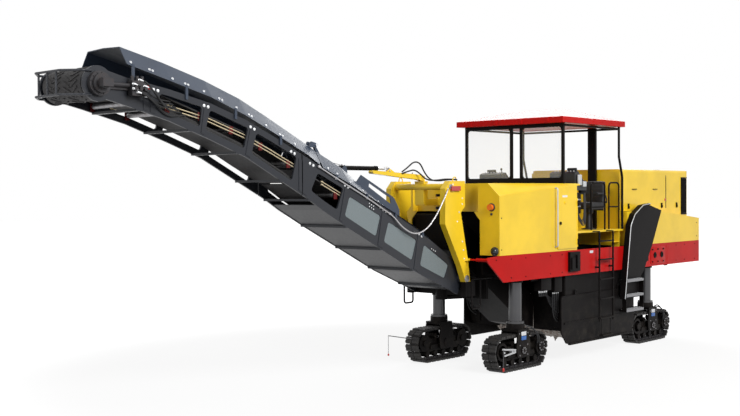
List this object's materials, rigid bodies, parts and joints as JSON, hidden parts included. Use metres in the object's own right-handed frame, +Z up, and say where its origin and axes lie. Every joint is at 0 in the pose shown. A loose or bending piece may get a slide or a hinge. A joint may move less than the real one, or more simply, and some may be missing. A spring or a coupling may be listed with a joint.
{
  "type": "cold planer milling machine",
  "caption": "Road milling machine on four steered crawlers with a milling drum, a folding, slewing front loading conveyor and an open roofed operator's stand.",
  "frame": {"origin": "on the ground, under the middle of the machine's whole outline with its loading conveyor straight ahead", "axes": "+X forward along the loading conveyor, +Y to the machine's left, +Z up"},
  "size_m": [15.78, 2.672, 5.11],
  "materials": {
    "black_paint": "satin",
    "red_paint": "gloss",
    "yellow_paint": "gloss",
    "engine_metal": "rough",
    "console_plastic": "matte",
    "seat_cover": "matte",
    "window_glass": "clear",
    "drum_steel": "worn",
    "belt_rubber": "matte",
    "amber_lens": "gloss",
    "red_lens": "gloss",
    "dark_paint": "satin",
    "grey_mesh": "satin",
    "roller_steel": "worn",
    "rod_chrome": "polished",
    "leg_steel": "satin",
    "track_rubber": "matte"
  },
  "bodies": {
    "machine": {"main_frame": "black_paint", "slew_brackets": "black_paint", "side_bands": "red_paint", "front_housing": "yellow_paint", "grab_bars": "black_paint", "rear_boxes": "yellow_paint", "engine_block": "engine_metal", "operator_deck": "yellow_paint", "deck_rails": "black_paint", "consoles": "console_plastic", "seats": "seat_cover", "canopy_frame": "black_paint", "canopy_glass": "window_glass", "canopy_roof": "red_paint", "drum_housing": "black_paint", "feed_frame": "black_paint", "feed_belt": "belt_rubber", "ladders": "black_paint", "stair_guards": "black_paint", "lamps": "amber_lens", "side_boxes": "black_paint"},
    "engine_hood": {"engine_hood": "yellow_paint", "rear_cowl": "yellow_paint", "rear_grille": "black_paint"},
    "service_door_left": {"service_door_left": "yellow_paint"},
    "service_door_right": {"service_door_right": "yellow_paint"},
    "milling_drum": {"milling_drum": "drum_steel"},
    "edge_plate_left": {"edge_plate_left": "black_paint"},
    "edge_plate_right": {"edge_plate_right": "black_paint"},
    "scraper": {"scraper": "black_paint"},
    "slewing_gantry": {"slew_frame": "yellow_paint", "slew_base": "black_paint", "gantry_lamps": "red_lens"},
    "conveyor_lower": {"lower_frame": "dark_paint", "lower_cover": "dark_paint", "lower_belt": "belt_rubber", "mesh_guards": "grey_mesh", "tail_pulley": "roller_steel"},
    "conveyor_upper": {"upper_frame": "dark_paint", "upper_cover": "dark_paint", "upper_belt": "belt_rubber", "head_pulley": "roller_steel", "head_motor": "engine_metal"},
    "lift_barrel": {"lift_barrel": "black_paint"},
    "lift_rod": {"lift_rod": "rod_chrome"},
    "leg_front_left": {"leg_front_left": "leg_steel"},
    "crawler_front_left": {"crawler_front_left": "black_paint", "track_front_left": "track_rubber"},
    "leg_front_right": {"leg_front_right": "leg_steel"},
    "crawler_front_right": {"crawler_front_right": "black_paint", "track_front_right": "track_rubber"},
    "leg_rear_left": {"leg_rear_left": "leg_steel"},
    "crawler_rear_left": {"crawler_rear_left": "black_paint", "track_rear_left": "track_rubber"},
    "leg_rear_right": {"leg_rear_right": "leg_steel"},
    "crawler_rear_right": {"crawler_rear_right": "black_paint", "track_rear_right": "track_rubber"}
  },
  "joints": [
    {"name": "gantry_slew", "type": "hinge", "parent": "machine", "child": "slewing_gantry", "pos_m": [-0.05, 0, 2], "axis": [0, 0, 1], "range_deg": [-30, 30]},
    {"name": "conveyor_tilt", "type": "hinge", "parent": "slewing_gantry", "child": "conveyor_lower", "pos_m": [0.11, 0, 1.7], "axis": [0, -1, 0], "range_deg": [-12, 4]},
    {"name": "conveyor_fold", "type": "hinge", "parent": "conveyor_lower", "child": "conveyor_upper", "pos_m": [3.52, 0, 3.935], "axis": [0, -1, 0], "range_deg": [0, 140]},
    {"name": "lift_barrel_swing", "type": "hinge", "parent": "conveyor_lower", "child": "lift_barrel", "pos_m": [2.43, -0.11, 3.612], "axis": [0, -1, 0], "range_deg": [-10, 4]},
    {"name": "lift_rod_slide", "type": "slide", "parent": "lift_barrel", "child": "lift_rod", "axis": [-1, 0, 0], "range_m": [-0.15, 0.45]},
    {"name": "drum_spin", "type": "hinge", "parent": "machine", "child": "milling_drum", "pos_m": [-3.48, 0, 0.71], "axis": [0, 1, 0], "continuous": true},
    {"name": "hood_hinge", "type": "hinge", "parent": "machine", "child": "engine_hood", "pos_m": [-7.702, 0, 2.65], "axis": [0, -1, 0], "range_deg": [0, 45]},
    {"name": "door_left_hinge", "type": "hinge", "parent": "machine", "child": "service_door_left", "pos_m": [-2.63, 1.221, 2.62], "axis": [0, 0, 1], "range_deg": [0, 100]},
    {"name": "door_right_hinge", "type": "hinge", "parent": "machine", "child": "service_door_right", "pos_m": [-2.63, -1.221, 2.62], "axis": [0, 0, -1], "range_deg": [0, 100]},
    {"name": "edge_left_lift", "type": "slide", "parent": "machine", "child": "edge_plate_left", "axis": [0, 0, 1], "range_m": [0, 0.25]},
    {"name": "edge_right_lift", "type": "slide", "parent": "machine", "child": "edge_plate_right", "axis": [0, 0, 1], "range_m": [0, 0.25]},
    {"name": "scraper_lift", "type": "slide", "parent": "machine", "child": "scraper", "axis": [0, 0, 1], "range_m": [0, 0.25]},
    {"name": "leg_front_left_lift", "type": "slide", "parent": "machine", "child": "leg_front_left", "axis": [0, 0, 1], "range_m": [0, 0.45]},
    {"name": "crawler_front_left_steer", "type": "hinge", "parent": "leg_front_left", "child": "crawler_front_left", "pos_m": [-1.06, 0.88, 0.83], "axis": [0, 0, 1], "range_deg": [-20, 20]},
    {"name": "leg_front_right_lift", "type": "slide", "parent": "machine", "child": "leg_front_right", "axis": [0, 0, 1], "range_m": [0, 0.45]},
    {"name": "crawler_front_right_steer", "type": "hinge", "parent": "leg_front_right", "child": "crawler_front_right", "pos_m": [-1.06, -0.88, 0.83], "axis": [0, 0, 1], "range_deg": [-20, 20]},
    {"name": "leg_rear_left_lift", "type": "slide", "parent": "machine", "child": "leg_rear_left", "axis": [0, 0, 1], "range_m": [0, 0.45]},
    {"name": "crawler_rear_left_steer", "type": "hinge", "parent": "leg_rear_left", "child": "crawler_rear_left", "pos_m": [-5.94, 0.88, 0.83], "axis": [0, 0, 1], "range_deg": [-20, 20]},
    {"name": "leg_rear_right_lift", "type": "slide", "parent": "machine", "child": "leg_rear_right", "axis": [0, 0, 1], "range_m": [0, 0.45]},
    {"name": "crawler_rear_right_steer", "type": "hinge", "parent": "leg_rear_right", "child": "crawler_rear_right", "pos_m": [-5.94, -0.88, 0.83], "axis": [0, 0, 1], "range_deg": [-20, 20]}
  ],
  "couplings": [
    {"joint": "crawler_front_right_steer", "follows": "crawler_front_left_steer", "ratio": 1},
    {"joint": "crawler_rear_right_steer", "follows": "crawler_rear_left_steer", "ratio": 1},
    {"joint": "lift_barrel_swing", "follows": "conveyor_tilt", "ratio": 0.76},
    {"joint": "lift_rod_slide", "follows": "conveyor_tilt", "m_per_rad": -2.017}
  ]
}
